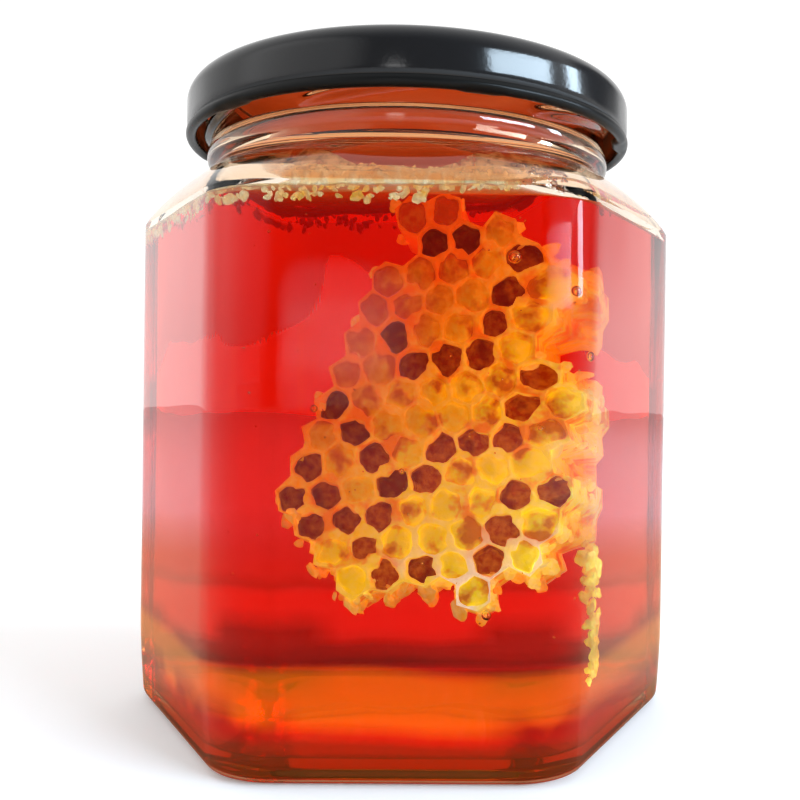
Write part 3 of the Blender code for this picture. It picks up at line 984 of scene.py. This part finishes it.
def foam_spots():
    """Places at the foam's upper and lower edge all round the glass."""
    draw = random.Random(8)
    spots = []
    for _ in range(FOAM_FLAKES):
        angle = draw.uniform(0, 2 * math.pi)
        x_share = math.cos(angle)
        if draw.random() < 0.5:
            z = FOAM_UNDERSIDE + FOAM_LEAN * x_share - draw.uniform(0, 2.6 if x_share < 0.1 else 1.0) * MM
        else:
            z = FOAM_TOP + draw.uniform(-1.6, -0.5) * MM
        apothem, corner = inner_wall(z)
        size = draw.uniform(0.28, 0.95) * MM
        radius = outline_radius(angle, apothem, corner) - size * 1.5 - 0.1 * MM
        spots.append((Vector((radius * math.cos(angle), radius * math.sin(angle), z)), size))
    return spots


crumb_wax = flake_wax("crumb_wax", (0.95, 0.6, 0.08), (0.97, 0.86, 0.5), (1.0, 0.95, 0.78), 0.2, 0.4)
crumbs = make_flakes("foam_flakes", foam_spots(), 34, crumb_wax)
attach(crumbs, "root")


# Air bubbles are caught in the honey: a few large ones round the comb, a cluster under the foam, and fine ones
# anywhere. They are round cavities, so their skin bends light the other way.
# The camera's middle and its focal length, in pixels of the frame.
LENS_X, LENS_Y, LENS_PIXELS = 446.8, 403.9, 926.8
CLUSTER = 46
CLUSTER_Y = -40.5 * MM
FINE_BUBBLES = 60


def on_ray(pixel_x, pixel_y, depth_y):
    """The point seen at a pixel of the 800 by 800 frame, where its sight line meets a plane across Y."""
    local = Vector(((pixel_x - LENS_X) / LENS_PIXELS, (LENS_Y - pixel_y) / LENS_PIXELS, -1.0))
    way = camera.matrix_world.to_3x3() @ local
    start = camera.matrix_world.translation
    return start + way * ((depth_y - start.y) / way.y)


def make_bubbles(spots):
    mesh = bmesh.new()
    for place, radius in spots:
        ball = bmesh.ops.create_icosphere(mesh, subdivisions=3, radius=radius)
        bmesh.ops.translate(mesh, verts=ball["verts"], vec=place)
    return piece_of("bubbles", mesh, bubble_air, math.radians(80))


# The large bubbles: the pixel each is seen at, then its place on Y and its radius in millimetres.
LARGE_BUBBLES = (
    (513, 262, -38.5, 1.0), (567, 294, -38.0, 0.85), (580, 357, -36.5, 0.8), (318, 408, -30.0, 0.6),
    (485, 610, -36.0, 0.8), (402, 470, -39.0, 0.45), (536, 428, -39.5, 0.4),
)


def bubble_spots():
    """The large bubbles, then the cluster just behind the front glass, then the fine ones."""
    draw = random.Random(3)
    spots = [(on_ray(x, y, depth_y * MM), radius * MM) for x, y, depth_y, radius in LARGE_BUBBLES]
    for _ in range(CLUSTER):
        x, y = draw.uniform(521, 563), draw.uniform(172, 190)
        spots.append((on_ray(x, y, CLUSTER_Y), draw.uniform(0.16, 0.42) * MM))
    for _ in range(FINE_BUBBLES):
        x, y = draw.uniform(230, 590), draw.uniform(210, 640)
        spots.append((on_ray(x, y, draw.uniform(-41.5, -36) * MM), draw.uniform(0.08, 0.2) * MM))
    return spots


bubble_air = Finish("bubble_air", Base_Color=(1.0, 0.96, 0.9), Transmission_Weight=1.0, IOR=0.67, Roughness=0.0)
bubbles = make_bubbles(bubble_spots())
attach(bubbles, "root")


# The lid is pressed from thin steel sheet, lacquered satin black outside and gold inside, with a stepped
# panel on top, a rolled lower edge, and six lugs that catch under the glass ridges.
LID_R = 42.1 * MM
LID_TOP = 116.0 * MM
LID_SHEET = 0.6 * MM
LID_EDGE = 3.8 * MM
LID_LOW = 105.6 * MM
CURL_R = 0.95 * MM
PANEL_R = 33.0 * MM
PANEL_DROP = 0.9 * MM
LUG_REACH = 1.1 * MM
LUG_HALF = math.radians(6)
LUG_AFTER_START = math.radians(44)
LID_ROUND = [2 * math.pi * step / 288 for step in range(288)]


def lug_inward(angle):
    """How far the rolled edge is pressed inwards here: six short smooth lugs."""
    pitch = 2 * math.pi / THREADS
    off = abs((angle - THREAD_START - LUG_AFTER_START + pitch / 2) % pitch - pitch / 2)
    share = max(0.0, min(1.0, 2 * (1 - off / LUG_HALF)))
    return LUG_REACH * share * share * (3 - 2 * share)


def lid_circle(radius, height):
    return circle(radius, height, LID_ROUND)


def lid_rings():
    rings = []
    for step in range(7):
        turn = math.pi * step / 6
        share = (1 - math.cos(turn)) / 2
        rings.append(lid_circle(PANEL_R + PANEL_DROP * step / 6, LID_TOP - PANEL_DROP * (1 - share)))
    for step in range(13):
        turn = math.pi / 2 * step / 12
        inward, down = LID_EDGE * (1 - math.sin(turn)), LID_EDGE * (1 - math.cos(turn))
        rings.append(lid_circle(LID_R - inward, LID_TOP - down))
    curl_z = LID_LOW + CURL_R
    rings.append(lid_circle(LID_R, curl_z + CURL_R * 2.4))
    rings.append(lid_circle(LID_R - 0.08 * MM, curl_z + CURL_R * 1.5))
    rings.append(lid_circle(LID_R - 0.28 * MM, curl_z + CURL_R * 1.05))
    curl_middle = LID_R + 0.15 * MM - CURL_R
    for step in range(-2, 13):
        turn = math.pi * step / 12
        points = []
        for angle in LID_ROUND:
            radius = curl_middle + CURL_R * math.cos(turn) - lug_inward(angle) * max(0, step) / 12
            points.append((radius * math.cos(angle), radius * math.sin(angle), curl_z - CURL_R * math.sin(turn)))
        rings.append(points)
    inner = LID_R - LID_SHEET
    ceiling = LID_TOP - LID_SHEET
    fall = LID_EDGE - LID_SHEET
    rings.append(lid_circle(inner, curl_z + CURL_R * 1.1))
    for step in range(7):
        turn = math.pi / 2 * step / 6
        rings.append(lid_circle(inner - fall * (1 - math.cos(turn)), ceiling - fall * (1 - math.sin(turn))))
    rings.append(lid_circle(PANEL_R + PANEL_DROP, ceiling))
    rings.append(lid_circle(PANEL_R, ceiling - PANEL_DROP))
    return rings


black_lacquer = Finish("black_lacquer", Base_Color=(0.008, 0.008, 0.009), IOR=1.4)
black_lacquer.set(Roughness=black_lacquer.noise(60.0, 3.0) * 0.05 + 0.1)
black_lacquer.bump(black_lacquer.noise(1500.0, 2.0), 0.06, 0.2 * MM)
curl_lacquer = Finish("curl_lacquer", Base_Color=(0.006, 0.006, 0.006), IOR=1.2)
curl_lacquer.set(Roughness=curl_lacquer.noise(60.0, 3.0) * 0.06 + 0.25)
# The lining's red gold is partly gold lacquer and partly painted light from the honey below, and its emission is a
# painted glow.
gold_lacquer_and_painted_glow = Finish("gold_lacquer_and_painted_glow", Roughness=0.35, Emission_Strength=0.22)
gold = gold_lacquer_and_painted_glow.blend(gold_lacquer_and_painted_glow.noise(90.0), (0.66, 0.09, 0.015), (0.8, 0.16, 0.03))
gold_lacquer_and_painted_glow.set(Base_Color=gold, Emission_Color=gold)
# The finishes in the order of the lid's material slots: the outside is left on the first.
LINED, CURLED = 1, 2
panel_z = LID_TOP - PANEL_DROP
lid = shell(
    "lid_cap", lid_rings(), (0, 0, panel_z), (0, 0, panel_z - LID_SHEET),
    [black_lacquer, gold_lacquer_and_painted_glow, curl_lacquer], math.radians(50),
)
for polygon in lid.data.polygons:
    faces_down = polygon.center.xy.length < LID_R - 0.9 * MM and polygon.normal.z < -0.3
    if faces_down and polygon.center.z > LID_LOW + 4 * MM:
        polygon.material_index = LINED
    elif polygon.center.z < LID_LOW + 2.2 * CURL_R:
        polygon.material_index = CURLED
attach(lid, "root")
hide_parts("lid")
